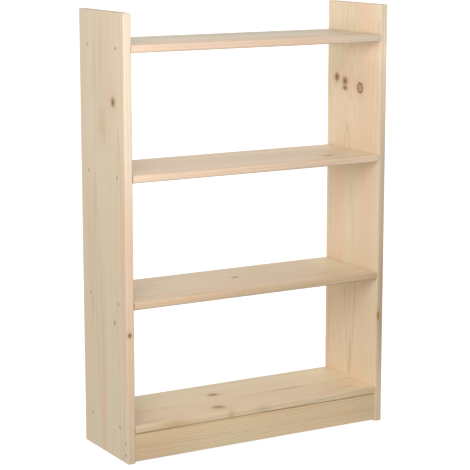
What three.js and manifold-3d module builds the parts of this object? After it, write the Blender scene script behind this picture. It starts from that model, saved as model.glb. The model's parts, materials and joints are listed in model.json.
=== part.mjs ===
// A pine bookcase: two side boards, a top and a bottom shelf screwed between them,
// two loose shelves that slide out forwards off four pegs each, and a plinth board
// under the front of the bottom shelf.
// Millimetres. X runs across the front, -Y faces the room and +Z is up. The origin is
// on the floor, under the middle of the bookcase.

import * as THREE from "three";
import { mergeVertices } from "three/addons/utils/BufferGeometryUtils.js";
import Module from "manifold-3d";

const wasm = await Module();
wasm.setup();

// Case
const caseWidth = 800;
const caseDepth = 260;
const caseHeight = 1170;
const sideThickness = 22;

// Shelves, listed from the floor up
const shelfThickness = 20;
const bottomShelfTop = 100;
const shelfPitch = 330;
const shelves = [
  { name: "bottom", loose: false },
  { name: "lower", loose: true },
  { name: "upper", loose: true },
  { name: "top", loose: false },
];
const looseEndClearance = 1;

// Plinth board, between the floor and the bottom shelf
const plinthThickness = 20;
const plinthRecess = 4;
const plinthFloorGap = 4;
const plinthShelfGap = 0.5;
const plinthScrewHeights = [21.5, 53.5];

// Fixings through the side boards
const fixingInset = 47;
const fitGap = 0.3;
const headSetBack = 0.4;
const turnSegments = 16;
const woodScrew = { headRadius: 4.4, headLand: 0.4, shankRadius: 2.2, length: 50, tip: 6 };
const peg = { headRadius: 4.4, headLand: 0.4, shankRadius: 2.5, length: 33.6, tip: 1 };
const tipRadius = { woodScrew: 0.3, peg: 1.6 };
const driveRecess = { width: 1.1, span: 4.6, depth: 1.8 };

// Groove in each end of a loose shelf: open at the back edge, stopped before the front
const groove = { halfHeight: 3, depth: 13, restGap: 0.3 };

const pine = new THREE.MeshStandardMaterial({ color: 0xdec4a5, roughness: 0.62, metalness: 0 });
const steel = new THREE.MeshStandardMaterial({ color: 0x8d867b, roughness: 0.38, metalness: 0.9 });

const clearWidth = caseWidth - 2 * sideThickness;
const frontY = -caseDepth / 2;
const backY = caseDepth / 2;
const fixingRows = { front: frontY + fixingInset, rear: backY - fixingInset };
const sides = { left: -1, right: 1 };

function toSolid(geometry) {
  const bare = geometry.clone();
  bare.deleteAttribute("normal");
  bare.deleteAttribute("uv");
  const merged = mergeVertices(bare, 1e-4);
  return new wasm.Manifold(new wasm.Mesh({
    numProp: 3,
    vertProperties: merged.attributes.position.array,
    triVerts: new Uint32Array(merged.index.array),
  }));
}

function toGeometry(solid) {
  const mesh = solid.getMesh();
  const geometry = new THREE.BufferGeometry();
  geometry.setAttribute("position", new THREE.BufferAttribute(mesh.vertProperties, 3));
  geometry.setIndex(new THREE.BufferAttribute(mesh.triVerts, 1));
  const facets = geometry.toNonIndexed();
  facets.computeVertexNormals();
  return facets;
}

function addMesh(parent, name, geometry, material) {
  const mesh = new THREE.Mesh(geometry, material.clone());
  mesh.name = name;
  parent.add(mesh);
  return mesh;
}

function boxBetween(low, high) {
  const size = high.map((value, axis) => value - low[axis]);
  const box = new THREE.BoxGeometry(...size);
  return box.translate(...low.map((value, axis) => value + size[axis] / 2));
}

// A turned fixing along +X: its head's flat face is at x = 0 and its tip at x = length.
// A positive margin gives the hole that it sits in, which starts outside the board.
function turnedFixing(fixing, endRadius, margin) {
  const headRadius = fixing.headRadius + margin;
  const shankRadius = fixing.shankRadius + margin;
  const coneEnd = fixing.headLand + (headRadius - shankRadius);
  const start = margin > 0 ? -2 : 0;
  const profile = [
    [0, start],
    [headRadius, start],
    [headRadius, fixing.headLand],
    [shankRadius, coneEnd],
    [shankRadius, fixing.length - fixing.tip],
    [endRadius + margin, fixing.length + margin],
    [0, fixing.length + margin],
  ];
  const points = profile.map(([radius, along]) => new THREE.Vector2(radius, along));
  return new THREE.LatheGeometry(points, turnSegments).rotateZ(-Math.PI / 2);
}

// The fixing with its cross-shaped driver recess
function drivenFixing(fixing, endRadius) {
  const { width, span, depth } = driveRecess;
  const arms = [[width, span], [span, width]].map(([acrossY, acrossZ]) =>
    toSolid(boxBetween([-1, -acrossY / 2, -acrossZ / 2], [depth, acrossY / 2, acrossZ / 2])));
  return toSolid(turnedFixing(fixing, endRadius, 0)).subtract(arms[0].add(arms[1]));
}

function shelfCentreHeight(index) {
  return bottomShelfTop + shelfPitch * index - shelfThickness / 2;
}

// Every place where a fixing goes through a side board, as a depth and a height
const fixingShapes = { woodScrew, peg };
const fixingPlaces = [];
shelves.forEach((shelf, index) => {
  for (const [row, y] of Object.entries(fixingRows)) {
    const z = shelfCentreHeight(index);
    const kind = shelf.loose ? "peg" : "woodScrew";
    const label = shelf.loose ? `peg_${shelf.name}` : `screw_${shelf.name}_shelf`;
    fixingPlaces.push({ label, row, kind, y, z });
  }
});
plinthScrewHeights.forEach((z, index) => {
  const y = frontY + plinthRecess + plinthThickness / 2;
  fixingPlaces.push({ label: "screw_plinth", row: ["low", "high"][index], kind: "woodScrew", y, z });
});

// Cuts the fixing holes of one side of the case out of a board
function drill(board, side, places) {
  for (const place of places) {
    const hole = turnedFixing(fixingShapes[place.kind], tipRadius[place.kind], fitGap);
    if (side > 0) {
      hole.rotateZ(Math.PI);
    }
    hole.translate(side * (caseWidth / 2 - headSetBack), place.y, place.z);
    board = board.subtract(toSolid(hole));
  }
  return board;
}

function makeSideBoard(side) {
  const outer = caseWidth / 2;
  const inner = outer - sideThickness;
  const across = [side * outer, side * inner].sort((a, b) => a - b);
  const board = boxBetween([across[0], frontY, 0], [across[1], backY, caseHeight]);
  return drill(toSolid(board), side, fixingPlaces);
}

function makeFixedShelf(index) {
  const top = bottomShelfTop + shelfPitch * index;
  const half = clearWidth / 2;
  let board = toSolid(boxBetween([-half, frontY, top - shelfThickness], [half, backY, top]));
  const places = fixingPlaces.filter((place) => place.z === shelfCentreHeight(index));
  for (const side of Object.values(sides)) {
    board = drill(board, side, places);
  }
  return board;
}

// The groove has a round front end, where the front peg stops the shelf
function grooveCutter(side, pegHeight) {
  const { halfHeight, depth, restGap } = groove;
  const centreZ = pegHeight + peg.shankRadius + restGap - halfHeight;
  const frontCentre = fixingRows.front - peg.shankRadius - fitGap + halfHeight;
  const outline = new THREE.Shape();
  outline.moveTo(backY + 1, centreZ + halfHeight);
  outline.lineTo(frontCentre, centreZ + halfHeight);
  outline.absarc(frontCentre, centreZ, halfHeight, Math.PI / 2, Math.PI * 1.5, false);
  outline.lineTo(backY + 1, centreZ - halfHeight);
  outline.closePath();
  const shape = { depth: depth + 1, bevelEnabled: false, curveSegments: 8 };
  const cutter = new THREE.ExtrudeGeometry(outline, shape);
  // The outline's own axes become Y and Z, and its depth runs along X
  const turn = new THREE.Matrix4().set(0, 0, 1, 0, 1, 0, 0, 0, 0, 1, 0, 0, 0, 0, 0, 1);
  cutter.applyMatrix4(turn);
  const end = clearWidth / 2 - looseEndClearance;
  return cutter.translate(side > 0 ? end - depth : -end - 1, 0, 0);
}

function makeLooseShelf(index) {
  const top = bottomShelfTop + shelfPitch * index;
  const half = clearWidth / 2 - looseEndClearance;
  let board = toSolid(boxBetween([-half, frontY, top - shelfThickness], [half, backY, top]));
  for (const side of Object.values(sides)) {
    board = board.subtract(toSolid(grooveCutter(side, shelfCentreHeight(index))));
  }
  return board;
}

function makePlinth() {
  const half = clearWidth / 2;
  const near = frontY + plinthRecess;
  const top = bottomShelfTop - shelfThickness - plinthShelfGap;
  let board = toSolid(boxBetween([-half, near, plinthFloorGap], [half, near + plinthThickness, top]));
  const places = fixingPlaces.filter((place) => place.label === "screw_plinth");
  for (const side of Object.values(sides)) {
    board = drill(board, side, places);
  }
  return board;
}

const bookcase = new THREE.Group();

for (const [sideName, side] of Object.entries(sides)) {
  addMesh(bookcase, `side_${sideName}`, toGeometry(makeSideBoard(side)), pine);
}

shelves.forEach((shelf, index) => {
  const board = shelf.loose ? makeLooseShelf(index) : makeFixedShelf(index);
  addMesh(bookcase, `shelf_${shelf.name}`, toGeometry(board), pine);
});

addMesh(bookcase, "plinth_front", toGeometry(makePlinth()), pine);

for (const [sideName, side] of Object.entries(sides)) {
  for (const place of fixingPlaces) {
    const shape = drivenFixing(fixingShapes[place.kind], tipRadius[place.kind]);
    const name = `${place.label}_${sideName}_${place.row}`;
    const fixing = addMesh(bookcase, name, toGeometry(shape), steel);
    fixing.position.set(side * (caseWidth / 2 - headSetBack), place.y, place.z);
    fixing.rotation.z = side > 0 ? Math.PI : 0;
  }
}

export default bookcase;
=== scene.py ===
import json
import math
import random

import bmesh
import bpy
from mathutils import Matrix, Vector

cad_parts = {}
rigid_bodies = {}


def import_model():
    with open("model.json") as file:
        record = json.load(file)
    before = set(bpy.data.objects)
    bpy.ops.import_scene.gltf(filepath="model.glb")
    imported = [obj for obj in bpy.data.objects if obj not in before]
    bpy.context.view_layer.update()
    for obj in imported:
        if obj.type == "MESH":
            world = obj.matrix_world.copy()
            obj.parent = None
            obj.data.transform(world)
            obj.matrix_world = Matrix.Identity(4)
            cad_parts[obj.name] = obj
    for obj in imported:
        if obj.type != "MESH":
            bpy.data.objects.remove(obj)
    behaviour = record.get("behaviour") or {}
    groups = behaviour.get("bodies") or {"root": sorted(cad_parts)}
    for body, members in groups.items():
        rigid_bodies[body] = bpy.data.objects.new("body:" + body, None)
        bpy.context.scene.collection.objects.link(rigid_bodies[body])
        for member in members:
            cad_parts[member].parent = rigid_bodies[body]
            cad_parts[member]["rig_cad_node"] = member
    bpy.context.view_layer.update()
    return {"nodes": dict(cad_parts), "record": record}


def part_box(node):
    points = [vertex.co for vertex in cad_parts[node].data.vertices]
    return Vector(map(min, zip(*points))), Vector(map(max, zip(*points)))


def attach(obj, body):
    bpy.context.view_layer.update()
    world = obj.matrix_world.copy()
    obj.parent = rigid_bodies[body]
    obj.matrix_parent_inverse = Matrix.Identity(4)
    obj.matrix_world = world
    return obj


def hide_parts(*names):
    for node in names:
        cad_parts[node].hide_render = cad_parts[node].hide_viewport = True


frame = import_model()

scene = bpy.context.scene
random.seed(7)
print("frame loaded:", len(frame["nodes"]), "nodes")


def addNode(tree, kind, settings=None, inputs=None, output=0):
    # one shader node: its settings first, then a value or a link for each socket
    node = tree.nodes.new(kind)
    for key, value in (settings or {}).items():
        setattr(node, key, value)
    for key, value in (inputs or {}).items():
        if isinstance(value, Wire):
            tree.links.new(value.socket, node.inputs[key])
        else:
            node.inputs[key].default_value = value
    return Wire(tree, node.outputs[output])


class Wire:  # one shader socket, so that sums on it read as plain arithmetic
    def __init__(self, tree, socket):
        self.tree = tree
        self.socket = socket

    def node(self, kind, settings=None, inputs=None, output=0):
        return addNode(self.tree, kind, settings, inputs, output)

    def maths(self, operation, *values):
        return self.node("ShaderNodeMath", {"operation": operation}, dict(enumerate(values)))

    def __add__(self, other):
        return self.maths("ADD", self, other)

    def __sub__(self, other):
        return self.maths("SUBTRACT", self, other)

    def __rsub__(self, other):
        return self.maths("SUBTRACT", other, self)

    def __mul__(self, other):
        return self.maths("MULTIPLY", self, other)

    def __truediv__(self, other):
        return self.maths("DIVIDE", self, other)

    def __pow__(self, other):
        return self.maths("POWER", self, other)

    def __gt__(self, other):
        return self.maths("GREATER_THAN", self, other)

    def __abs__(self):
        return self.maths("ABSOLUTE", self)

    __radd__ = __add__
    __rmul__ = __mul__

    def smooth(self, low, high):  # 0 below low, 1 above high, an S between
        spread = {"interpolation_type": "SMOOTHSTEP"}
        return self.node("ShaderNodeMapRange", spread, {0: self, 1: low, 2: high})

    def blend(self, first, second):  # self mixes two colours
        return self.node("ShaderNodeMix", {"data_type": "RGBA"}, {0: self, 6: first, 7: second}, 2)

    def stretched(self, *scales):  # a vector scaled on each axis
        return self.node("ShaderNodeVectorMath", {"operation": "MULTIPLY"}, {0: self, 1: scales})

    def noise(self, detail=2.0):
        return self.node("ShaderNodeTexNoise", None, {"Vector": self, "Scale": 1.0, "Detail": detail})


def paint(red, green, blue):  # a swatch in everyday 0 to 255 values, made linear
    linear = [((value / 255 + 0.055) / 1.055) ** 2.4 for value in (red, green, blue)]
    return (*linear, 1.0)


def newFinish(name):  # an empty material, with its nodes and its shader
    material = bpy.data.materials.new(name)
    material.use_nodes = True
    shader = material.node_tree.nodes["Principled BSDF"]
    return material, material.node_tree, shader


# colours of bare planed pine
pineTints = {
    "sapwood": paint(220, 202, 172),
    "heartwood": paint(216, 186, 155),
    "latewood": paint(189, 151, 108),
    "amber": paint(188, 138, 86),
    "knot": paint(150, 102, 56),
    "knotHeart": paint(80, 50, 26),
    "knotRing": paint(88, 56, 30),
    "endGrain": paint(184, 152, 116),
    "glue": paint(176, 146, 112),
}

# how many of each mark there are to a metre, across and along the grain
pinePace = {
    "wander": (4, 1.7),  # slow bends of the log's heart
    "flutter": (55, 8),  # fine unevenness of the year rings
    "cloud": (8, 0.9),
    "band": (24, 0.7),
    "streak": (75, 1.6),
    "fibre": (900, 14),
    "canal": (600, 34),
}

pineMarks = {
    "flutterDepth": 0.0016,
    "flowSpread": 0.25,
    "ringLine": (0.40, 0.88, 0.93),  # where in a year's growth the dark line starts, peaks and fades
    "ringSharp": 1.6,
    "ringStrength": (0.3, 0.7),      # the faintest year's line, and how much stronger one may be
    "canalCut": (0.68, 0.76),        # how strong a noise makes a resin canal
    "canalDark": 0.18,
    "ripple": (0.012, 0.010),        # how far flutter and bands push the sides of stains and of patches of painted light and shade
    "glueLine": (0.00012, 0.00048),  # how far from a seam its line starts and ends to fade
    "glueDark": 0.5,
    "endDepth": 0.0006,
    "endDark": (0.35, 0.5),          # sawn ends: all over, and more on the ring lines
}

# how far each scale of grain moves the wood's tone and its lightness
pineSway = {
    "tone": {"cloud": 1.3, "band": 1.5, "streak": 1.0},
    "light": {"fibre": 0.12, "streak": 0.20, "band": 0.12},
}

pineSurface = {"rough": 0.56, "fibreRough": 0.16, "lineSmooth": 0.08, "endRough": 0.2, "specular": 0.35,
               "fibreHeight": 0.5, "lineHeight": 0.6, "bump": 0.35, "relief": 0.00025}

# a live knot melts into the wood, a soft one is paler, a dead one stands apart in a dark ring
knotLooks = {
    "live": {"edge": (0.60, 1.25), "fill": 0.80, "ring": 0.20, "heart": 0.85, "halo": 0.40},
    "soft": {"edge": (0.55, 1.30), "fill": 0.66, "ring": 0.16, "heart": 0.46, "halo": 0.34},
    "dead": {"edge": (0.85, 1.10), "fill": 0.62, "ring": 0.95, "heart": 0.20, "halo": 0.45},
}

# a knot's edges are in its own radii
knotShape = {"ragged": 0.5, "raggedPace": (3, 3, 1), "ringIn": (0.60, 0.95), "ringOut": (1.0, 1.3),
             "ringFull": 0.75, "heart": (0.05, 0.75), "growth": 4, "growthDark": 1.2, "haloReach": 0.55,
             "liftReach": 0.45}


def stave(heart, depth, spacing, drift=0.0, bow=0.01, bowAt=0.5, pink=0.5, light=1.0, contrast=0.4):
    # heart and depth place the log's middle off the board's face, drift leans it, bow bends it away,
    # and spacing is the width of a year ring
    return {"heart": heart, "depth": depth, "spacing": spacing, "drift": drift, "bow": bow,
            "bowAt": bowAt, "pink": pink, "light": light, "contrast": contrast}


def staged(across, edges, values):
    # one value for each stave, changing at the glue lines
    total = values[0]
    for edge, before, after in zip(edges, values, values[1:]):
        if after != before:
            total = (across > edge) * (after - before) + total
    return total


def distanceTo(point, mark):
    # how many of its own radii away a mark's centre is
    across, through, along = point
    wide, long = mark["size"]
    parts = {0: (across - mark["at"][0]) * (1 / wide), 1: (along - mark["at"][1]) * (1 / long)}
    if "deep" in mark:
        centre, reach = mark["deep"]
        parts[2] = (through - centre) * (1 / reach)
    spot = across.node("ShaderNodeCombineXYZ", None, parts)
    return across.node("ShaderNodeVectorMath", {"operation": "LENGTH"}, {0: spot}, 1)


def nearestOf(point, marks):
    nearest = distanceTo(point, marks[0])
    for mark in marks[1:]:
        away = distanceTo(point, mark)
        nearest = away.maths("MINIMUM", nearest, away)
    return nearest


def bell(away):  # 1 at a mark's centre, fading smoothly past its radius
    return away.maths("EXPONENT", away * away * -1)


def softPatchSum(point, ripple, stainsAndPaintedLight, key):
    # the sum of soft patches, whose sides waver with the grain: real stains in the wood, and in places
    # painted light and painted shade
    across, through, along = point
    total = 0.0
    for softPatch in stainsAndPaintedLight:
        if key in softPatch:
            total = bell(distanceTo((across + ripple, through, along), softPatch)) * softPatch[key] + total
    return total


def swirl(point, mark, seed):
    # where a mark's noise is read, paced across and along the grain
    across, through, along = point
    wide, long = pinePace[mark]
    return across.node("ShaderNodeCombineXYZ", None, {0: across * wide, 1: along * long, 2: seed})


def heartDistance(point, wander, staveValue):
    # how far a point is from the middle of the log that its stave was sawn from
    across, through, along = point
    bowed = along - staveValue("bowAt")
    deep = through + bowed * bowed * staveValue("bow") + staveValue("depth") + wander
    sideways = across - (along * staveValue("drift") + staveValue("heart")) + wander
    return (sideways * sideways + deep * deep) ** 0.5


def yearLine(years):
    # pale growth darkens to a line, then starts again, and no two years are alike
    start, peak, fade = pineMarks["ringLine"]
    faintest, spread = pineMarks["ringStrength"]
    age = years.maths("FRACT", years)
    yearNumber = years.maths("FLOOR", years)
    eachYear = yearNumber.node("ShaderNodeTexWhiteNoise", {"noise_dimensions": "1D"}, {1: yearNumber})
    line = age.smooth(start, peak) * (1 - age.smooth(fade, 1.0))
    return line ** pineMarks["ringSharp"] * (eachYear * spread + faintest)


def knotted(colour, point, knots, ragged):
    # each kind of knot is laid over the wood: halo, flesh, heart, then its ring of bark
    for kind, look in knotLooks.items():
        chosen = [knot for knot in knots if knot.get("kind", "live") == kind]
        if not chosen:
            continue
        away = nearestOf(point, chosen) * (ragged * knotShape["ragged"] + 1)
        inside = 1 - away.smooth(*look["edge"])
        ring = away.smooth(*knotShape["ringIn"]) * (1 - away.smooth(*knotShape["ringOut"]))
        heart = 1 - away.smooth(*knotShape["heart"])
        growth = away * knotShape["growth"] + ragged
        growthLine = growth.maths("PINGPONG", growth, 0.5) * knotShape["growthDark"]
        flesh = growthLine.blend(pineTints["knot"], pineTints["latewood"])
        halo = bell(away * knotShape["haloReach"]) * look["halo"]
        colour = halo.blend(colour, pineTints["latewood"])
        colour = (inside * look["fill"]).blend(colour, flesh)
        colour = (heart * look["heart"]).blend(colour, pineTints["knotHeart"])
        bark = ring * (ragged + knotShape["ringFull"]) * look["ring"]
        colour = bark.blend(colour, pineTints["knotRing"])
    return colour


def glued(colour, across, edges):
    # a hairline where two staves meet
    for edge in edges:
        seam = 1 - abs(across - edge).smooth(*pineMarks["glueLine"])
        colour = (seam * pineMarks["glueDark"]).blend(colour, pineTints["glue"])
    return colour


def sawnEnd(along, ends):
    # 1 on the sawn ends, 0 a hair's breadth further in
    half = (ends[1] - ends[0]) / 2
    fromMiddle = abs(along - (ends[0] + ends[1]) / 2)
    return fromMiddle.smooth(half - pineMarks["endDepth"], half - pineMarks["endDepth"] / 3)


def pineFinish(name, board):
    material, tree, shader = newFinish(name)
    place = addNode(tree, "ShaderNodeTexCoord", output=3)
    xyz = [place.node("ShaderNodeSeparateXYZ", None, {0: place}, index) for index in range(3)]
    across, along = xyz[board["across"]], xyz[board["along"]]
    through = (xyz[board["through"]] - board["face"]) * board["inwards"]
    point = (across, through, along)
    edges = board.get("glueLines", [])
    knots = board.get("knots", [])
    stainsAndPaintedLight = board.get("stainsAndPaintedLight", [])
    seed = board["seed"]

    def staveValue(key):
        return staged(across, edges, [part[key] for part in board["staves"]])

    wander = (swirl(point, "wander", seed).noise(1.0) - 0.5) * board["wander"]
    fine = swirl(point, "flutter", seed + 4)
    flutter = fine.noise(2.0) - 0.5
    radius = heartDistance(point, wander, staveValue)
    radius = radius + flutter * board.get("flutter", pineMarks["flutterDepth"])
    if knots:  # the rings swing round a knot
        radius = radius + bell(nearestOf(point, knots) * knotShape["liftReach"]) * board["lift"]
    line = yearLine(radius / staveValue("spacing"))
    spread = across * pineMarks["flowSpread"] + seed
    flow = across.node("ShaderNodeCombineXYZ", None, {0: radius, 1: spread, 2: along})

    def grain(mark, detail=2.0):
        wide, long = pinePace[mark]
        return flow.stretched(wide, wide, long).noise(detail)

    grains = {"fibre": grain("fibre"), "streak": grain("streak"), "band": grain("band"),
              "cloud": grain("cloud", 1.0)}

    def swayed(key):
        return sum((grains[mark] - 0.5) * amount for mark, amount in pineSway[key].items())

    flutterPush, bandPush = pineMarks["ripple"]
    ripple = flutter * flutterPush + (grains["band"] - 0.5) * bandPush
    tone = swayed("tone") + staveValue("pink") + softPatchSum(point, ripple, stainsAndPaintedLight, "pink")
    colour = tone.smooth(0.0, 1.0).blend(pineTints["sapwood"], pineTints["heartwood"])
    colour = (line * staveValue("contrast")).blend(colour, pineTints["latewood"])
    if any("amber" in softPatch for softPatch in stainsAndPaintedLight):
        colour = softPatchSum(point, ripple, stainsAndPaintedLight, "amber").blend(colour, pineTints["amber"])
    canal = grain("canal").smooth(*pineMarks["canalCut"])
    colour = (canal * pineMarks["canalDark"]).blend(colour, pineTints["knot"])
    # lightness: the grain's own, each stave's, and the patches' shade, which at some patches is painted
    # light and at others painted shade
    light = swayed("light") + staveValue("light") + softPatchSum(point, ripple, stainsAndPaintedLight, "shade")
    colour = light.node("ShaderNodeVectorMath", {"operation": "SCALE"}, {0: colour, 3: light})

    ragged = fine.stretched(*knotShape["raggedPace"]).noise(2.0) - 0.5
    colour = knotted(colour, point, knots, ragged)
    colour = glued(colour, across, edges)
    sawn = sawnEnd(along, board["ends"])
    plainDark, lineDark = pineMarks["endDark"]
    colour = (sawn * (line * lineDark + plainDark)).blend(colour, pineTints["endGrain"])
    colour = colour.stretched(*board["wash"])
    tree.links.new(colour.socket, shader.inputs["Base Color"])

    fibre = grains["fibre"]
    rough = (fibre - 0.5) * pineSurface["fibreRough"] + pineSurface["rough"]
    rough = rough - line * pineSurface["lineSmooth"] + sawn * pineSurface["endRough"]
    tree.links.new(rough.socket, shader.inputs["Roughness"])
    height = fibre * pineSurface["fibreHeight"] + line * pineSurface["lineHeight"]
    bumped = height.node("ShaderNodeBump", None, {"Strength": pineSurface["bump"],
                                                  "Distance": pineSurface["relief"], "Height": height})
    tree.links.new(bumped.socket, shader.inputs["Normal"])
    shader.inputs["Specular IOR Level"].default_value = pineSurface["specular"]
    return material


roundSteps = {"cutter": 32, "fixing": 20, "longArris": 6, "endArris": 3}
mergeGap = 1e-6


def finishPiece(name, mesh, material, body, nodes):
    # turns a bmesh into a piece that rides on its body and stands for its CAD nodes
    data = bpy.data.meshes.new(name)
    bmesh.ops.recalc_face_normals(mesh, faces=mesh.faces)
    mesh.to_mesh(data)
    mesh.free()
    piece = bpy.data.objects.new(name, data)
    scene.collection.objects.link(piece)
    data.materials.append(material)
    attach(piece, body)
    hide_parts(*nodes)


def looseObject(mesh):
    # a bmesh as a plain object, for a boolean
    data = bpy.data.meshes.new("cutter")
    bmesh.ops.recalc_face_normals(mesh, faces=mesh.faces)
    mesh.to_mesh(data)
    mesh.free()
    cutter = bpy.data.objects.new("cutter", data)
    scene.collection.objects.link(cutter)
    return cutter


def cutAway(mesh, cutterMeshes):
    # takes the cutters out of a board with an exact boolean and gives the board back as a bmesh
    board = looseObject(mesh)
    cutters = [looseObject(cutterMesh) for cutterMesh in cutterMeshes]
    for cutter in cutters:
        knife = board.modifiers.new("knife", "BOOLEAN")
        knife.operation = "DIFFERENCE"
        knife.solver = "EXACT"
        knife.object = cutter
    bpy.context.view_layer.update()
    ready = board.evaluated_get(bpy.context.evaluated_depsgraph_get())
    result = bmesh.new()
    result.from_mesh(ready.to_mesh())
    ready.to_mesh_clear()
    for used in [board, *cutters]:
        bpy.data.objects.remove(used)
    bmesh.ops.remove_doubles(result, verts=result.verts, dist=mergeGap)
    return result


def easedBoard(low, high, grainAxis, longEase, endEase):
    # a planed board: its long arrises are rounded, its sawn ends only broken
    mesh = bmesh.new()
    bmesh.ops.create_cube(mesh, size=1)
    size = Vector(high) - Vector(low)
    bmesh.ops.scale(mesh, vec=size, verts=mesh.verts)
    bmesh.ops.translate(mesh, vec=(Vector(low) + Vector(high)) / 2, verts=mesh.verts)
    longEdges = [edge for edge in mesh.edges
                 if abs((edge.verts[0].co - edge.verts[1].co)[grainAxis]) > size[grainAxis] / 2]
    bmesh.ops.bevel(mesh, geom=longEdges, offset=longEase, affect="EDGES",
                    segments=roundSteps["longArris"], profile=0.5, material=-1)
    ends = (low[grainAxis], high[grainAxis])
    endEdges = [edge for edge in mesh.edges
                if any(all(abs(vert.co[grainAxis] - end) < mergeGap for vert in edge.verts) for end in ends)]
    bmesh.ops.bevel(mesh, geom=endEdges, offset=endEase, affect="EDGES",
                    segments=roundSteps["endArris"], profile=0.5, material=-1)
    return mesh


def turned(profile, steps):
    # spins a profile of (along, radius) points round the X axis into a closed solid
    mesh = bmesh.new()
    rim = [mesh.verts.new((along, 0, radius)) for along, radius in profile]
    for near, far in zip(rim, rim[1:]):
        mesh.edges.new((near, far))
    bmesh.ops.spin(mesh, geom=[*mesh.verts, *mesh.edges], cent=(0, 0, 0), axis=(1, 0, 0),
                   angle=math.tau, steps=steps, use_merge=True, use_duplicate=False)
    bmesh.ops.remove_doubles(mesh, verts=mesh.verts, dist=mergeGap)
    return mesh


def placed(mesh, place, side, twist=0.0):
    # a turned shape points inwards from its side of the case
    turn = Matrix.Rotation(math.pi if side > 0 else 0, 4, "Z") @ Matrix.Rotation(twist, 4, "X")
    bmesh.ops.transform(mesh, matrix=Matrix.Translation(place) @ turn, verts=mesh.verts)
    return mesh


# gap is the room round a screw or peg, flare is how far its hole's cutter stands out of the board
fixings = {"gap": 0.0003, "flare": 0.003, "tipRoom": 0.0004, "tipRadius": 0.0008}
screwShape = {"head": 0.0044, "land": 0.0004, "shank": 0.0022, "core": 0.00155, "length": 0.050,
              "tip": 0.007, "pitch": 0.0021, "threadFrom": 0.014, "threadTo": 0.0465}
pegShape = {"head": 0.0044, "land": 0.0004, "shank": 0.0025, "core": 0.0020, "length": 0.0336,
            "tip": 0.0012, "tipEase": (0.6, 0.88, 0.64), "pitch": 0.0018, "threadFrom": 0.005,
            "threadTo": 0.019}


def fixingPlaces():
    # where each screw and peg enters its side board, read from the frame
    places = []
    for node in frame["nodes"]:
        if not node.startswith(("screw_", "peg_")):
            continue
        low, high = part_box(node)
        side = 1 if low.x > 0 else -1
        outer = high.x if side > 0 else low.x
        middle = (low + high) / 2
        places.append({"node": node, "side": side, "at": Vector((outer, middle.y, middle.z)),
                       "peg": node.startswith("peg_")})
    return sorted(places, key=lambda place: place["node"])


places = fixingPlaces()


def fixingHole(place):
    # the cutter of a countersunk hole, with the room that its screw or peg needs
    shape = pegShape if place["peg"] else screwShape
    gap, flare = fixings["gap"], fixings["flare"]
    head, shank = shape["head"] + gap, shape["shank"] + gap
    cone = shape["land"] + head - shank
    bottom = shape["length"] + fixings["tipRoom"]
    profile = [(-flare, 0), (-flare, head + flare), (0, head), (shape["land"], head), (cone, shank),
               (shape["length"] - shape["tip"], shank), (bottom, fixings["tipRadius"]), (bottom, 0)]
    return placed(turned(profile, roundSteps["cutter"]), place["at"], place["side"])


def holesFor(low, high):
    # cutters of the fixings that reach into a board
    cutters = []
    for place in places:
        length = pegShape["length"] if place["peg"] else screwShape["length"]
        spot = place["at"]
        near, far = sorted((spot.x, spot.x - place["side"] * length))
        beside = low.y < spot.y < high.y and low.z < spot.z < high.z
        if beside and far > low.x and near < high.x:
            cutters.append(fixingHole(place))
    return cutters


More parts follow.
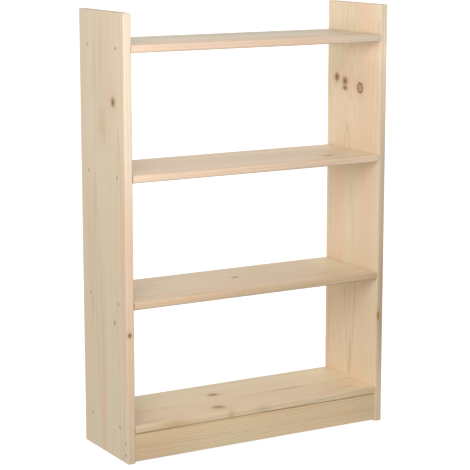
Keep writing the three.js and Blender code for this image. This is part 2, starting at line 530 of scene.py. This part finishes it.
# wander and lift are how far the year rings stray and how far they swing round a knot, and wash
# tints the whole board. A mark's at and size are (across, along), from the middle of the case or
# from the floor, and its deep says how far behind the face it lies and how far it reaches.
sideBoards = {
    "longEase": 0.004,
    "endEase": 0.0012,
    "left": {
        "seed": 1.3, "face": "outer", "wander": 0.010, "lift": 0.007, "glueLines": [-0.044],
        "wash": (0.850, 0.883, 0.855),
        "staves": [
            stave(-0.100, 0.045, 0.0070, 0.010, 0.012, pink=0.50, light=1.0, contrast=0.31),
            stave(0.010, 0.030, 0.0085, 0.050, 0.030, 0.4, pink=0.40, light=0.995, contrast=0.34),
        ],
        "stainsAndPaintedLight": [
            {"at": (-0.002, 0.885), "size": (0.022, 0.045), "pink": 0.5, "amber": 0.12},
            {"at": (-0.014, 0.850), "size": (0.006, 0.030), "amber": 0.16},
            {"at": (0.020, 0.860), "size": (0.006, 0.035), "amber": 0.12},
            {"at": (0.006, 1.060), "size": (0.009, 0.080), "pink": 0.5, "amber": 0.08},
            {"at": (0.040, 1.020), "size": (0.012, 0.100), "pink": 0.4, "shade": -0.03},
            {"at": (0.044, 0.830), "size": (0.008, 0.050), "shade": -0.06},
            {"at": (0.052, 0.650), "size": (0.007, 0.070), "shade": -0.06},
            {"at": (0.068, 0.560), "size": (0.012, 0.180), "pink": 0.5},
            {"at": (0.090, 0.600), "size": (0.007, 0.120), "amber": 0.22},
            {"at": (0.070, 0.390), "size": (0.008, 0.050), "amber": 0.25},
            {"at": (0.010, 0.380), "size": (0.030, 0.200), "pink": -0.15, "shade": -0.05},
            {"at": (-0.118, 0.560), "size": (0.014, 0.110), "pink": 0.7},
            {"at": (-0.020, 0.300), "size": (0.010, 0.200), "shade": 0.05},
            {"at": (-0.130, 0.400), "size": (0.006, 0.550), "deep": (0.011, 0.040), "pink": 0.40,
             "shade": 0.22},
            {"at": (-0.010, 1.020), "size": (0.060, 0.200), "pink": 0.22},
            {"at": (-0.130, 1.000), "size": (0.006, 0.350), "deep": (0.011, 0.040), "pink": -0.4,
             "shade": 0.06},
        ],
        "knots": [
            {"at": (-0.066, 0.942), "size": (0.0110, 0.0125)},
            {"at": (-0.060, 0.366), "size": (0.0050, 0.0060), "kind": "soft"},
            {"at": (-0.132, 0.346), "size": (0.006, 0.007), "deep": (0.008, 0.006)},
        ],
    },
    "right": {
        "seed": 5.7, "face": "inner", "wander": 0.010, "lift": 0.006, "glueLines": [-0.074, 0.058],
        "wash": (1.010, 1.042, 1.000),
        "staves": [
            stave(-0.125, 0.040, 0.0080, 0.0, 0.030, 0.4, pink=0.40, light=0.995, contrast=0.28),
            stave(0.008, 0.030, 0.0070, 0.0, 0.090, 0.46, pink=0.48, light=1.0, contrast=0.25),
            stave(0.120, 0.050, 0.0060, 0.0, 0.020, 0.5, pink=0.39, light=0.995, contrast=0.34),
        ],
        "stainsAndPaintedLight": [
            {"at": (0.000, 0.160), "size": (0.009, 0.060), "amber": 0.40},
            {"at": (0.004, 0.330), "size": (0.014, 0.160), "pink": 0.45},
            {"at": (0.004, 0.620), "size": (0.014, 0.120), "pink": 0.35},
            {"at": (0.000, 0.310), "size": (0.300, 0.090), "amber": 0.12},
            {"at": (0.027, 0.818), "size": (0.007, 0.018), "amber": 0.22, "shade": -0.10},
            {"at": (0.037, 0.780), "size": (0.0030, 0.030), "amber": 0.12, "shade": -0.08},
            {"at": (0.016, 0.780), "size": (0.0030, 0.030), "amber": 0.12, "shade": -0.08},
            {"at": (-0.012, 0.560), "size": (0.0028, 0.110), "shade": -0.13},
            {"at": (0.029, 0.330), "size": (0.0045, 0.060), "amber": 0.15, "shade": -0.09},
            {"at": (0.019, 0.230), "size": (0.0035, 0.050), "amber": 0.15, "shade": -0.08},
            {"at": (-0.022, 0.330), "size": (0.0045, 0.060), "amber": 0.15, "shade": -0.09},
            {"at": (-0.014, 0.230), "size": (0.0035, 0.050), "amber": 0.15, "shade": -0.08},
            {"at": (0.110, 0.300), "size": (0.020, 0.250), "amber": 0.10},
            {"at": (-0.130, 0.350), "size": (0.008, 0.250), "deep": (0.016, 0.012), "amber": 0.44,
             "shade": -0.23},
            {"at": (-0.130, 0.720), "size": (0.008, 0.140), "deep": (0.016, 0.012), "shade": -0.14},
            {"at": (-0.130, 0.350), "size": (0.008, 0.450), "deep": (0.016, 0.012), "pink": -0.35},
            {"at": (-0.130, 1.080), "size": (0.008, 0.200), "deep": (0.016, 0.012), "pink": -0.2,
             "shade": 0.13},
            # painted light: lifts the shade on the inner face where it meets the bottom shelf
            {"at": (0.000, 0.100), "size": (0.300, 0.050), "shade": 0.10},
            # painted light: lifts the shadow that the top shelf casts on the inner face
            {"at": (0.000, 1.035), "size": (0.300, 0.030), "shade": 0.13},
            {"at": (0.010, 0.945), "size": (0.070, 0.028), "amber": 0.14},
            {"at": (0.030, 1.120), "size": (0.0022, 0.060), "shade": -0.12},
            {"at": (0.014, 1.060), "size": (0.0022, 0.060), "shade": -0.10},
            {"at": (0.054, 1.090), "size": (0.0022, 0.070), "shade": -0.09},
            {"at": (-0.006, 1.080), "size": (0.0022, 0.080), "shade": -0.08},
        ],
        "knots": [
            {"at": (0.082, 0.957), "size": (0.0125, 0.0125)},
            {"at": (0.040, 0.949), "size": (0.0135, 0.0125)},
            {"at": (0.040, 0.930), "size": (0.0120, 0.0070)},
            {"at": (-0.034, 0.936), "size": (0.0130, 0.0140), "kind": "dead"},
            {"at": (-0.130, 0.306), "size": (0.004, 0.013), "deep": (0.006, 0.003)},
        ],
    },
}


def bodyOf(node):
    bodies = frame["record"]["behaviour"]["bodies"]
    return next(body for body, members in bodies.items() if node in members)


def makeSideBoard(name, side):
    node = "side_" + name
    low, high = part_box(node)
    settings = sideBoards[name]
    mesh = easedBoard(low, high, 2, sideBoards["longEase"], sideBoards["endEase"])
    mesh = cutAway(mesh, holesFor(low, high))
    outer, inner = (low.x, high.x) if side < 0 else (high.x, low.x)
    face, inwards = (outer, -side) if settings["face"] == "outer" else (inner, side)
    board = {**settings, "across": 1, "along": 2, "through": 0, "face": face, "inwards": inwards,
             "ends": (low.z, high.z)}
    material = pineFinish("pine side " + name, board)
    finishPiece("sideBoard." + name, mesh, material, bodyOf(node), [node])


for sideName, sideSign in (("left", -1), ("right", 1)):
    makeSideBoard(sideName, sideSign)
print("side boards made")


shelfBoards = {
    "longEase": 0.0045,
    "endEase": 0.0008,
    "groove": {"half": 0.003, "depth": 0.013, "fromFront": 0.0472, "drop": 0.0002, "overrun": 0.001},
    "top": {
        "seed": 11.1, "wander": 0.010, "lift": 0.006, "glueLines": [-0.046, 0.041],
        "wash": (0.955, 0.997, 1.014),
        "staves": [
            stave(-0.10, 0.045, 0.0070, 0.02, 0.03, 0.1, pink=0.56, light=1.0, contrast=0.34),
            stave(0.01, 0.040, 0.0080, -0.02, 0.03, -0.1, pink=0.42, light=1.0, contrast=0.34),
            stave(0.09, 0.050, 0.0065, 0.01, 0.03, 0.2, pink=0.36, light=1.0, contrast=0.34),
        ],
        "stainsAndPaintedLight": [
            {"at": (-0.130, -0.20), "size": (0.010, 0.30), "pink": 0.3, "shade": 0.02},
            {"at": (-0.130, 0.12), "size": (0.010, 0.22), "pink": 0.4, "shade": 0.10},
            {"at": (0.110, 0.12), "size": (0.080, 0.45), "pink": -0.7, "shade": -0.22},
            {"at": (-0.080, 0.10), "size": (0.060, 0.14), "amber": 0.12, "shade": -0.03},
            # painted light: the front of the left end is lifted where the left side board shades it
            {"at": (-0.090, -0.36), "size": (0.060, 0.05), "shade": 0.09},
        ],
    },
    "upper": {
        "seed": 23.4, "wander": 0.010, "lift": 0.006, "glueLines": [-0.046, 0.041],
        "wash": (0.987, 1.050, 1.065),
        "staves": [
            stave(-0.085, 0.035, 0.0080, 0.02, 0.04, -0.1, pink=0.50, light=1.0, contrast=0.36),
            stave(0.01, 0.045, 0.0070, 0.0, 0.02, 0.0, pink=0.58, light=1.0, contrast=0.32),
            stave(0.08, 0.040, 0.0075, -0.02, 0.03, 0.1, pink=0.50, light=1.0, contrast=0.34),
        ],
        "stainsAndPaintedLight": [
            {"at": (-0.131, 0.25), "size": (0.008, 0.60), "amber": 0.10, "shade": 0.02},
            # painted light at the right end beside the right side board, with a slightly paler tone
            {"at": (0.000, 0.36), "size": (0.300, 0.06), "pink": -0.1, "shade": 0.10},
            {"at": (0.000, 0.08), "size": (0.070, 0.15), "shade": -0.04},
            # painted light: the front of the left end is lifted where the left side board shades it
            {"at": (-0.090, -0.36), "size": (0.060, 0.05), "shade": 0.09},
        ],
        "knots": [
            {"at": (-0.068, 0.254), "size": (0.0075, 0.0150)},
        ],
    },
    "lower": {
        "seed": 31.9, "wander": 0.012, "lift": 0.006, "glueLines": [-0.046, 0.041],
        "wash": (0.910, 0.970, 0.933),
        "staves": [
            stave(-0.11, 0.024, 0.0075, 0.03, 0.05, 0.1, pink=0.58, light=1.0, contrast=0.5),
            stave(0.01, 0.040, 0.0080, 0.0, 0.04, 0.0, pink=0.50, light=1.0, contrast=0.34),
            stave(0.09, 0.045, 0.0070, 0.0, 0.03, -0.1, pink=0.45, light=1.0, contrast=0.34),
        ],
        "stainsAndPaintedLight": [
            {"at": (-0.131, 0.05), "size": (0.008, 0.80), "amber": 0.26, "shade": 0.02},
            # painted light at the right end beside the right side board, with a paler tone
            {"at": (0.000, 0.350), "size": (0.300, 0.060), "pink": -0.3, "shade": 0.12},
            {"at": (0.000, 0.080), "size": (0.080, 0.150), "shade": -0.06},
            {"at": (-0.131, -0.30), "size": (0.008, 0.20), "pink": 0.3, "shade": 0.10},
            {"at": (-0.131, 0.36), "size": (0.008, 0.06), "amber": 0.15, "shade": -0.12},
        ],
        "knots": [
            {"at": (0.014, 0.005), "size": (0.0060, 0.0095)},
        ],
    },
    "bottom": {
        "seed": 44.2, "wander": 0.014, "lift": 0.008, "glueLines": [-0.046, 0.041],
        "wash": (0.968, 1.023, 0.956),
        "staves": [
            stave(-0.095, 0.026, 0.0085, 0.03, 0.06, -0.05, pink=0.48, light=1.0, contrast=0.46),
            stave(-0.017, 0.024, 0.0080, 0.0, 0.05, 0.0, pink=0.48, light=1.0, contrast=0.46),
            stave(0.085, 0.040, 0.0075, 0.01, 0.03, 0.1, pink=0.52, light=1.0, contrast=0.36),
        ],
        "stainsAndPaintedLight": [
            {"at": (-0.016, -0.222), "size": (0.0045, 0.028), "shade": -0.12},
            {"at": (-0.018, 0.040), "size": (0.0040, 0.060), "amber": 0.30, "shade": -0.10},
            {"at": (-0.018, 0.160), "size": (0.0055, 0.060), "amber": 0.45, "shade": -0.14},
            {"at": (-0.018, 0.280), "size": (0.0040, 0.060), "amber": 0.20, "shade": -0.06},
            # painted shadow: the left side board's shadow across the shelf's left end
            {"at": (0.000, -0.390), "size": (0.300, 0.100), "shade": -0.17},
            # painted light at the right end, with a paler tone
            {"at": (0.000, 0.380), "size": (0.300, 0.120), "pink": -0.25, "shade": 0.12},
            {"at": (-0.131, 0.000), "size": (0.008, 0.600), "amber": 0.06, "shade": 0.08},
            {"at": (-0.131, -0.260), "size": (0.008, 0.050), "amber": 0.50, "pink": -0.6, "shade": 0.02},
            {"at": (-0.131, -0.370), "size": (0.008, 0.060), "amber": 0.10, "shade": 0.12},
            {"at": (-0.131, -0.090), "size": (0.008, 0.010), "amber": 0.35, "shade": -0.06},
            {"at": (-0.128, 0.010), "size": (0.008, 0.022), "amber": 0.34, "pink": -0.5, "shade": -0.08},
            {"at": (-0.131, 0.350), "size": (0.008, 0.070), "amber": 0.30, "shade": -0.08},
        ],
        "knots": [
            {"at": (0.031, -0.056), "size": (0.0130, 0.0165), "kind": "soft"},
            {"at": (-0.082, -0.102), "size": (0.0145, 0.0185), "kind": "soft"},
        ],
    },
}


def grooveCutter(low, high, side):
    # a routed slot: a bar with a round front end, pulled out past the back edge
    groove = shelfBoards["groove"]
    mesh = bmesh.new()
    bmesh.ops.create_cone(mesh, cap_ends=True, segments=roundSteps["cutter"], radius1=groove["half"],
                          radius2=groove["half"], depth=groove["depth"] + groove["overrun"] * 2)
    bmesh.ops.rotate(mesh, cent=(0, 0, 0), matrix=Matrix.Rotation(math.pi / 2, 3, "Y"), verts=mesh.verts)
    rear = [vert for vert in mesh.verts if vert.co.y > mergeGap]
    bmesh.ops.translate(mesh, vec=(0, high.y - low.y, 0), verts=rear)
    end = high.x if side > 0 else low.x
    centre = (end - side * (groove["depth"] / 2 - groove["overrun"]), low.y + groove["fromFront"],
              (low.z + high.z) / 2 - groove["drop"])
    bmesh.ops.translate(mesh, vec=centre, verts=mesh.verts)
    return mesh


def makeShelf(name):
    node = "shelf_" + name
    low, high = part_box(node)
    mesh = easedBoard(low, high, 0, shelfBoards["longEase"], shelfBoards["endEase"])
    if bodyOf(node) == "case":
        mesh = cutAway(mesh, holesFor(low, high))
    else:
        mesh = cutAway(mesh, [grooveCutter(low, high, side) for side in (-1, 1)])
    board = {**shelfBoards[name], "across": 1, "along": 0, "through": 2, "face": high.z, "inwards": -1,
             "ends": (low.x, high.x)}
    material = pineFinish("pine shelf " + name, board)
    finishPiece("shelf." + name, mesh, material, bodyOf(node), [node])


for shelfName in ("top", "upper", "lower", "bottom"):
    makeShelf(shelfName)
print("shelves made")


plinthBoard = {
    "longEase": 0.002,
    "endEase": 0.0008,
    "seed": 52.6, "wander": 0.012, "lift": 0.0, "flutter": 0.0042,
    "wash": (1.090, 1.124, 0.989),
    "staves": [stave(0.30, 0.06, 0.0062, -0.012, 0.01, 0.1, pink=0.50, light=0.98, contrast=0.95)],
    "stainsAndPaintedLight": [
        {"at": (0.030, -0.360), "size": (0.100, 0.160), "pink": 0.6, "shade": -0.07},
        {"at": (0.030, 0.380), "size": (0.100, 0.080), "shade": -0.06},
    ],
}


def makePlinth():
    low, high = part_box("plinth_front")
    mesh = easedBoard(low, high, 0, plinthBoard["longEase"], plinthBoard["endEase"])
    mesh = cutAway(mesh, holesFor(low, high))
    board = {**plinthBoard, "across": 2, "along": 0, "through": 1, "face": low.y, "inwards": 1,
             "ends": (low.x, high.x)}
    material = pineFinish("pine plinth", board)
    finishPiece("plinth.front", mesh, material, bodyOf("plinth_front"), ["plinth_front"])


makePlinth()
print("plinth made")


# a head's cross-shaped socket, where taper and wingTaper are its floor's share of its mouth
driver = {"wing": 0.0011, "span": 0.0046, "depth": 0.0021, "taper": 0.45, "wingTaper": 0.7}

# crest is how sharp the ridge is, runOut what is left of it where it stops, and blunt how much of
# the shank a point keeps
thread = {"rowsPerTurn": 6, "crest": 3.2, "runOut": 0.15, "blunt": 0.12, "rimEase": 0.00015}


def shankProfile(shape):
    # head, cone, shank and end as (along, radius) points, with close rows where the thread goes
    head, land, shank, ease = shape["head"], shape["land"], shape["shank"], thread["rimEase"]
    start, length = shape["threadFrom"], shape["threadTo"] - shape["threadFrom"]
    rows = int(length / shape["pitch"] * thread["rowsPerTurn"])
    profile = [(0, 0), (0, head - ease), (ease, head), (land, head), (land + head - shank, shank)]
    profile += [(start + length * row / rows, shank) for row in range(rows + 1)]
    if "tipEase" in shape:
        endStart = shape["length"] - shape["tip"]
        easeAt, easeTo, endTo = shape["tipEase"]
        profile += [(endStart, shank), (endStart + shape["tip"] * easeAt, shank * easeTo),
                    (shape["length"], shank * endTo)]
    return [*profile, (shape["length"], 0)]


def threadedBlank(shape):
    # the spun blank, with the thread raised along its shank; a screw narrows to its point
    shank, core, pitch = shape["shank"], shape["core"], shape["pitch"]
    start, stop = shape["threadFrom"], shape["threadTo"]
    mesh = turned(shankProfile(shape), roundSteps["fixing"])
    for vert in mesh.verts:
        along = vert.co.x
        radius = math.hypot(vert.co.y, vert.co.z)
        if not start <= along <= stop + mergeGap or radius < mergeGap:
            continue
        phase = (along / pitch - math.atan2(vert.co.z, vert.co.y) / math.tau) % 1
        crest = max(0.0, 1 - abs(phase - 0.5) * thread["crest"])
        fade = min(1.0, (along - start) / pitch, (stop - along) / pitch + thread["runOut"])
        point = 1.0
        if "tipEase" not in shape:
            point = min(1.0, max(thread["blunt"], (shape["length"] - along) / shape["tip"]))
        scale = (shank + (core + (shank - core) * crest - shank) * fade) * point / radius
        vert.co.y *= scale
        vert.co.z *= scale
    return mesh


def driverCutters():
    # two crossed wings, narrower towards the socket's floor
    wings = []
    for turn in (0, math.pi / 2):
        mesh = bmesh.new()
        bmesh.ops.create_cube(mesh, size=1)
        bmesh.ops.scale(mesh, vec=(driver["depth"] * 2, driver["span"], driver["wing"]), verts=mesh.verts)
        floor = [vert for vert in mesh.verts if vert.co.x > 0]
        bmesh.ops.scale(mesh, vec=(1, driver["taper"], driver["wingTaper"]), verts=floor)
        bmesh.ops.rotate(mesh, cent=(0, 0, 0), matrix=Matrix.Rotation(turn, 3, "X"), verts=mesh.verts)
        wings.append(mesh)
    return wings


steelLook = {"bright": paint(168, 155, 134), "dull": paint(140, 126, 104), "patch": (0.35, 0.7),
             "cloud": 420, "grime": 1500, "rough": 0.34, "grimeRough": 0.3, "bump": 0.2,
             "relief": 0.00005, "metallic": 0.85}


def steelFinish():
    material, tree, shader = newFinish("plated steel")
    place = addNode(tree, "ShaderNodeTexCoord", output=3)
    cloudPace, grimePace = steelLook["cloud"], steelLook["grime"]
    cloud = place.stretched(cloudPace, cloudPace, cloudPace).noise(3.0)
    grime = place.stretched(grimePace, grimePace, grimePace).noise(2.0)
    colour = cloud.smooth(*steelLook["patch"]).blend(steelLook["bright"], steelLook["dull"])
    tree.links.new(colour.socket, shader.inputs["Base Color"])
    rough = (grime - 0.5) * steelLook["grimeRough"] + steelLook["rough"]
    tree.links.new(rough.socket, shader.inputs["Roughness"])
    bumped = grime.node("ShaderNodeBump", None, {"Strength": steelLook["bump"],
                                                 "Distance": steelLook["relief"], "Height": grime})
    tree.links.new(bumped.socket, shader.inputs["Normal"])
    shader.inputs["Metallic"].default_value = steelLook["metallic"]
    return material


def makeFixings():
    steel = steelFinish()
    blanks = {}
    for isPeg, shape in ((False, screwShape), (True, pegShape)):
        blanks[isPeg] = cutAway(threadedBlank(shape), driverCutters())
    for place in places:
        mesh = blanks[place["peg"]].copy()
        placed(mesh, place["at"], place["side"], random.uniform(0, math.tau))
        finishPiece(place["node"].replace("_", "."), mesh, steel, "case", [place["node"]])
    for blank in blanks.values():
        blank.free()


makeFixings()
print("fixings made:", len(places))


shading = {"sharpAngle": 32, "weight": 80}


def smoothPieces():
    # round arrises shade smoothly while the flats stay flat
    for piece in scene.objects:
        if piece.type != "MESH" or piece.get("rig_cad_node"):
            continue
        for polygon in piece.data.polygons:
            polygon.use_smooth = True
        piece.data.set_sharp_from_angle(angle=math.radians(shading["sharpAngle"]))
        weighted = piece.modifiers.new("flat faces", "WEIGHTED_NORMAL")
        weighted.keep_sharp = True
        weighted.weight = shading["weight"]


smoothPieces()
print("pieces smoothed")


# glow is how bright the room is on each side; the key is a square softbox, its power in watts
stage = {
    "floorHalf": 60, "floorTint": paint(188, 187, 186), "floorRough": 0.9, "floorGlow": 0.74,
    "glow": {"up": 0.26, "left": 0.66, "right": 0.40, "front": 0.46, "back": 1.22}, "skySeen": 1.0,
    "keyPlace": (-0.83, -1.19, 1.33), "keyAim": (0, 0, 0.65),
    "keySize": (1.0, 1.0), "keyPower": 17.4, "keyTint": (1.0, 0.99, 1.18),
}

# turn and tilt in degrees, lens and sensor in millimetres
view = {"place": (-2.3073, -3.9647, 1.4243), "turn": 30.16, "tilt": 10.78, "lens": 131.2, "sensor": 36,
        "reach": 200}


def makeFloor():
    mesh = bmesh.new()
    bmesh.ops.create_grid(mesh, x_segments=1, y_segments=1, size=stage["floorHalf"])
    data = bpy.data.meshes.new("floor")
    mesh.to_mesh(data)
    mesh.free()
    floor = bpy.data.objects.new("floor", data)
    scene.collection.objects.link(floor)
    material, _, shader = newFinish("studio floor")
    shader.inputs["Base Color"].default_value = stage["floorTint"]
    shader.inputs["Roughness"].default_value = stage["floorRough"]
    shader.inputs["Emission Color"].default_value = (1, 1, 1, 1)
    shader.inputs["Emission Strength"].default_value = stage["floorGlow"]
    data.materials.append(material)
    floor.visible_diffuse = False  # its glow stays off the bookcase's undersides
    floor.visible_glossy = False


def addKey():
    # the one lamp, a softbox near the front left
    light = bpy.data.lights.new("key", "AREA")
    light.shape = "RECTANGLE"
    light.size, light.size_y = stage["keySize"]
    light.energy = stage["keyPower"]
    light.color = stage["keyTint"]
    lamp = bpy.data.objects.new("key", light)
    scene.collection.objects.link(lamp)
    lamp.location = stage["keyPlace"]
    lamp.visible_camera = False
    facing = Vector(stage["keyPlace"]) - Vector(stage["keyAim"])
    lamp.rotation_euler = facing.to_track_quat("Z", "Y").to_euler()


def lightRoom():
    # a bright wall behind, softer ones elsewhere, and plain white where the camera sees past them
    world = bpy.data.worlds.new("studio")
    scene.world = world
    world.use_nodes = True
    tree = world.node_tree
    glow = stage["glow"]
    toSky = addNode(tree, "ShaderNodeTexCoord", output=0)
    x, y, z = [toSky.node("ShaderNodeSeparateXYZ", None, {0: toSky}, index) for index in range(3)]
    walls = ((z, glow["up"]), (x * -1, glow["left"]), (x, glow["right"]), (y * -1, glow["front"]),
             (y, glow["back"]))
    light = sum(side.maths("MAXIMUM", side, 0.0) * strength for side, strength in walls)
    seen = addNode(tree, "ShaderNodeLightPath")
    strength = light + seen * (stage["skySeen"] - light)
    sky = tree.nodes["Background"]
    sky.inputs["Color"].default_value = (1, 1, 1, 1)
    tree.links.new(strength.socket, sky.inputs["Strength"])


def addCamera():
    lens = bpy.data.cameras.new("camera")
    lens.sensor_width = view["sensor"]
    lens.lens = view["lens"]
    lens.clip_end = view["reach"]
    camera = bpy.data.objects.new("camera", lens)
    scene.collection.objects.link(camera)
    camera.location = view["place"]
    turn, tilt = math.radians(view["turn"]), math.radians(view["tilt"])
    camera.rotation_euler = (math.pi / 2 - tilt, 0, -turn)
    scene.camera = camera


makeFloor()
lightRoom()
addKey()
addCamera()
scene.view_settings.view_transform = "Standard"
print("stage made")
